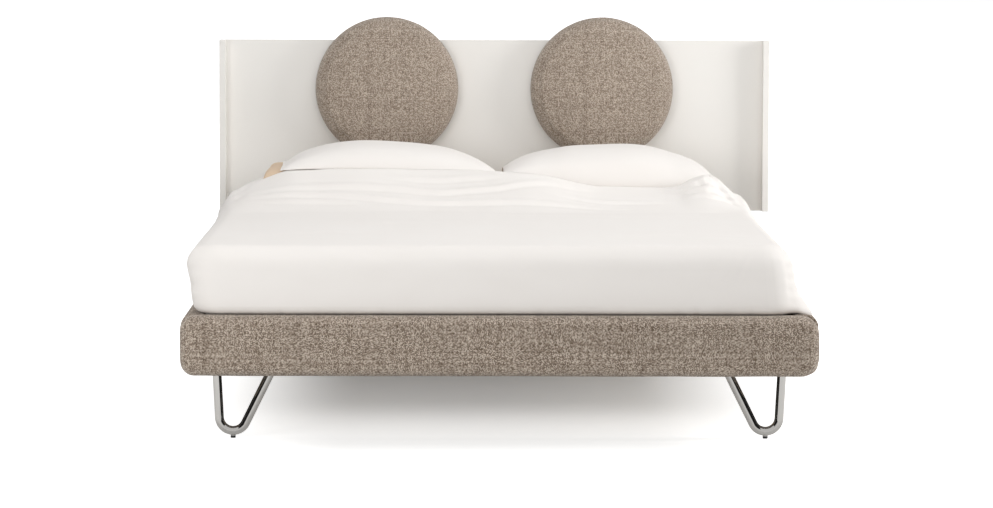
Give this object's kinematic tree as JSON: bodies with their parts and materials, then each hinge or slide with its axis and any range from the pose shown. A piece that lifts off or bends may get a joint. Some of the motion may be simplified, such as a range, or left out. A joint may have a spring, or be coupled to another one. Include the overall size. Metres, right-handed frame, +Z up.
{
  "type": "double bed",
  "caption": "Upholstered double bed on chrome loop legs, with a white winged headboard, round hang-on headrests, slatted base and made-up mattress.",
  "frame": {"origin": "on the floor, at the middle of the bed's overall box", "axes": "+X across the bed, to the right as seen from the foot; +Y from the foot to the head; +Z up"},
  "size_m": [1.79, 2.2314, 1.112],
  "materials": {
    "tweed": "taupe and sand flecked woven upholstery, matt",
    "bedding": "off-white smooth cotton, matt",
    "beige_linen": "beige cotton, matt",
    "foam": "cream upholstery foam",
    "timber": "plain plywood, sanded",
    "slat_wood": "beech plywood, clear lacquer",
    "white_lacquer": "white satin lacquer on board",
    "chrome": "bright chrome plating",
    "steel": "grey powder-coated steel",
    "zinc": "zinc-plated steel",
    "black_plastic": "black nylon"
  },
  "bodies": {
    "frame": {"base_centre_tube": "steel", "base_end_tube_foot": "steel", "base_end_tube_head": "steel", "base_side_tube_left": "steel", "base_side_tube_right": "steel", "corner_bracket_front_left": "steel", "corner_bracket_front_right": "steel", "corner_bracket_rear_left": "steel", "corner_bracket_rear_right": "steel", "foot_rail_board": "timber", "foot_rail_cover": "tweed", "foot_rail_foam": "foam", "frame_bolts": "zinc", "head_rail_board": "timber", "head_rail_cover": "tweed", "head_rail_foam": "foam", "headboard_back_panel": "white_lacquer", "headboard_side_board_left": "white_lacquer", "headboard_side_board_right": "white_lacquer", "headboard_support_left": "steel", "headboard_support_right": "steel", "ledge_screws": "zinc", "leg_front_left": "chrome", "leg_front_right": "chrome", "leg_rear_left": "chrome", "leg_rear_right": "chrome", "side_ledge_left": "steel", "side_ledge_right": "steel", "side_rail_left_board": "timber", "side_rail_left_cover": "tweed", "side_rail_left_foam": "foam", "side_rail_right_board": "timber", "side_rail_right_cover": "tweed", "side_rail_right_foam": "foam", "slat_holders": "black_plastic", "slats": "slat_wood"},
    "bedding": {"coverlet": "bedding", "lower_pillow_left": "beige_linen", "lower_pillow_right": "beige_linen", "mattress": "bedding"},
    "glide_front_left": {"glide_front_left": "black_plastic"},
    "glide_front_right": {"glide_front_right": "black_plastic"},
    "glide_rear_left": {"glide_rear_left": "black_plastic"},
    "glide_rear_right": {"glide_rear_right": "black_plastic"},
    "headrest_left": {"headrest_left_board": "timber", "headrest_left_bumper": "black_plastic", "headrest_left_cover": "tweed", "headrest_left_foam": "foam", "headrest_left_hook": "steel", "headrest_left_screws": "zinc"},
    "headrest_right": {"headrest_right_board": "timber", "headrest_right_bumper": "black_plastic", "headrest_right_cover": "tweed", "headrest_right_foam": "foam", "headrest_right_hook": "steel", "headrest_right_screws": "zinc"},
    "upper_pillow_left": {"upper_pillow_left": "bedding"},
    "upper_pillow_right": {"upper_pillow_right": "bedding"}
  },
  "joints": [
    {"name": "glide_front_left_screw", "type": "slide", "parent": "frame", "child": "glide_front_left", "axis": [0, 0, -1], "range_m": [0, 0.008]},
    {"name": "glide_front_right_screw", "type": "slide", "parent": "frame", "child": "glide_front_right", "axis": [0, 0, -1], "range_m": [0, 0.008]},
    {"name": "glide_rear_left_screw", "type": "slide", "parent": "frame", "child": "glide_rear_left", "axis": [0, 0, -1], "range_m": [0, 0.008]},
    {"name": "glide_rear_right_screw", "type": "slide", "parent": "frame", "child": "glide_rear_right", "axis": [0, 0, -1], "range_m": [0, 0.008]},
    {"name": "headrest_left_slide", "type": "slide", "parent": "frame", "child": "headrest_left", "axis": [1, 0, 0], "range_m": [-0.25, 0.1]},
    {"name": "headrest_right_slide", "type": "slide", "parent": "frame", "child": "headrest_right", "axis": [1, 0, 0], "range_m": [-0.1, 0.25]},
    {"name": "bedding_lift", "type": "slide", "parent": "frame", "child": "bedding", "axis": [0, 0, 1], "range_m": [0, 0.3]},
    {"name": "upper_pillow_left_lift", "type": "slide", "parent": "bedding", "child": "upper_pillow_left", "axis": [0, 0, 1], "range_m": [0, 0.25]},
    {"name": "upper_pillow_right_lift", "type": "slide", "parent": "bedding", "child": "upper_pillow_right", "axis": [0, 0, 1], "range_m": [0, 0.25]}
  ]
}
